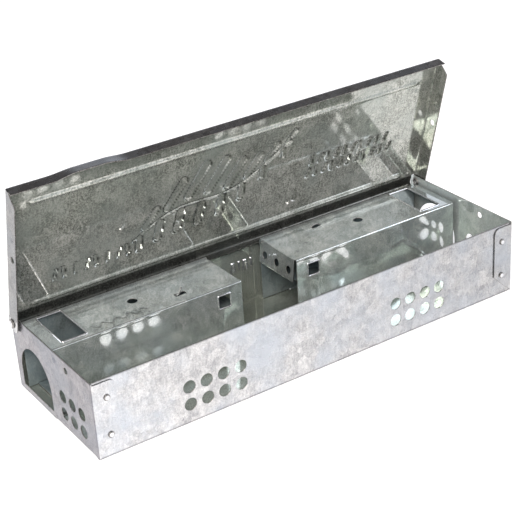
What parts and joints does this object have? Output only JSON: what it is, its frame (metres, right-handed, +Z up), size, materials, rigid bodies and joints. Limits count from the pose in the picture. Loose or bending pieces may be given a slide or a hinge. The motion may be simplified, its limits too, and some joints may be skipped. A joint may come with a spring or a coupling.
{
  "type": "live catch trap",
  "caption": "Slim folded sheet-steel live catch box with a hinged lid, entry tunnels along one side, see-saw ramps, entrance arches and vent holes.",
  "frame": {"origin": "middle of the floor's underside", "axes": "+X along the box, +Y from the front wall to the hinge side, +Z up"},
  "size_m": [0.2722, 0.0904, 0.1239],
  "materials": {
    "body_steel": "galvanised sheet with a fine spangle",
    "lid_steel": "galvanised sheet, bright and slightly mottled",
    "tunnel_steel": "galvanised sheet, bright",
    "ramp_steel": "galvanised sheet, bright",
    "rivet_zinc": "zinc plated"
  },
  "bodies": {
    "tray": {"channel_body": "body_steel", "left_end_plate": "body_steel", "right_end_plate": "body_steel", "left_tunnel": "tunnel_steel", "right_tunnel": "tunnel_steel", "left_ramp_pin": "rivet_zinc", "right_ramp_pin": "rivet_zinc", "left_lid_rivet": "rivet_zinc", "right_lid_rivet": "rivet_zinc", "left_front_lower_rivet": "rivet_zinc", "left_front_upper_rivet": "rivet_zinc", "left_back_lower_rivet": "rivet_zinc", "left_back_upper_rivet": "rivet_zinc", "right_front_lower_rivet": "rivet_zinc", "right_front_upper_rivet": "rivet_zinc", "right_back_lower_rivet": "rivet_zinc", "right_back_upper_rivet": "rivet_zinc"},
    "lid": {"lid": "lid_steel"},
    "left_ramp": {"left_ramp": "ramp_steel"},
    "right_ramp": {"right_ramp": "ramp_steel"}
  },
  "joints": [
    {"name": "lid_hinge", "type": "hinge", "parent": "tray", "child": "lid", "pos_m": [0, 0.0391, 0.0406], "axis": [1, 0, 0], "range_deg": [0, 75]},
    {"name": "left_ramp_pivot", "type": "hinge", "parent": "tray", "child": "left_ramp", "pos_m": [-0.06982, 0.0209, 0.0103], "axis": [0, 1, 0], "range_deg": [0, 26]},
    {"name": "right_ramp_pivot", "type": "hinge", "parent": "tray", "child": "right_ramp", "pos_m": [0.06982, 0.0209, 0.0103], "axis": [0, -1, 0], "range_deg": [0, 26]}
  ]
}
